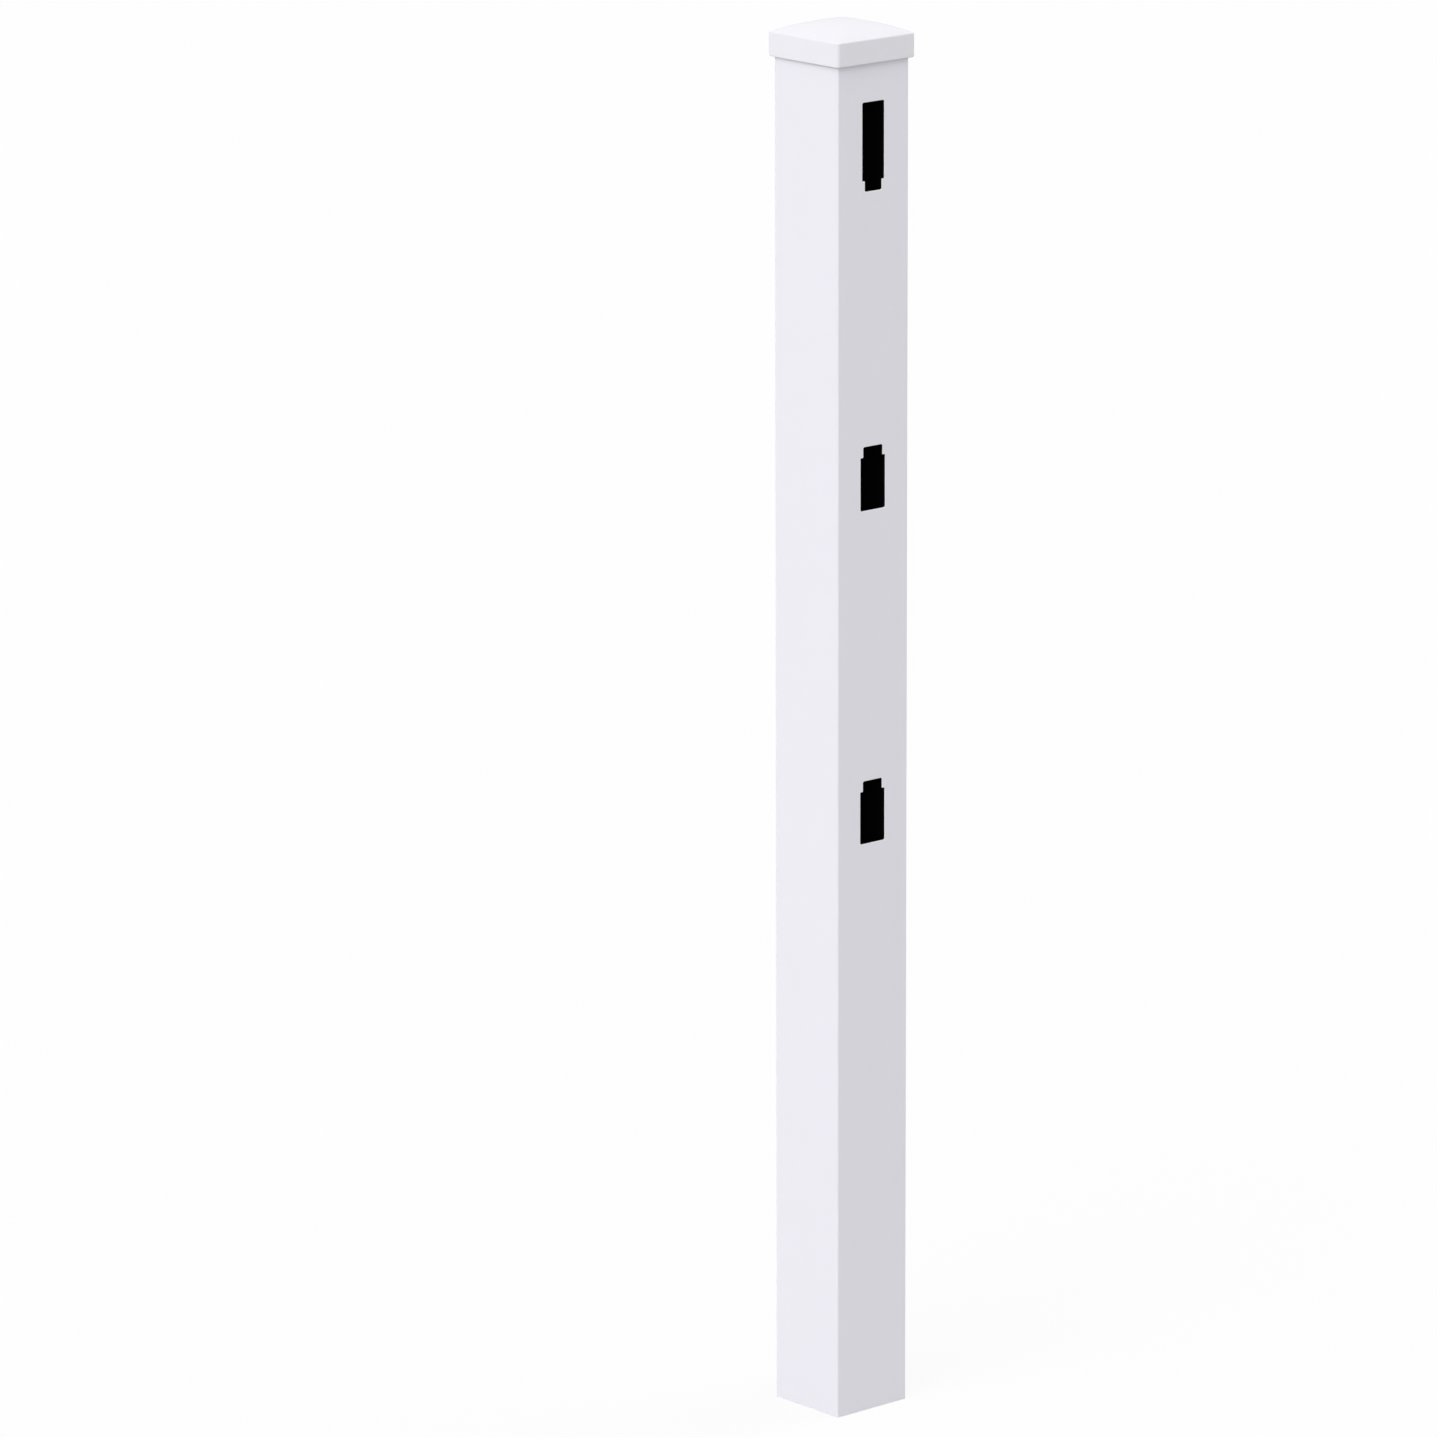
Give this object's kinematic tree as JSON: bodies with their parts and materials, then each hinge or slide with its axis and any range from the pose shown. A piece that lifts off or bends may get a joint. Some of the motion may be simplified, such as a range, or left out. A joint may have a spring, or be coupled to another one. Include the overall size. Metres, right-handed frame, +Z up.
{
  "type": "fence post",
  "caption": "Square hollow vinyl fence post with keyhole rail pockets routed in its front face, an open foot and a crowned four-sided cap.",
  "frame": {"origin": "middle of the post's open foot, on the surface that it stands on", "axes": "+Z up along the post to the cap; the routed face with the rail pockets looks along -Y; +X to the right when that face is seen from the front"},
  "size_m": [0.1396, 0.1396, 1.9265],
  "materials": {
    "post_vinyl": "white extruded vinyl, satin, with faint lengthwise draw lines",
    "cap_vinyl": "white moulded vinyl, satin, a touch smoother than the post"
  },
  "bodies": {
    "root": {"post_tube": "post_vinyl", "post_cap": "cap_vinyl"}
  },
  "joints": []
}
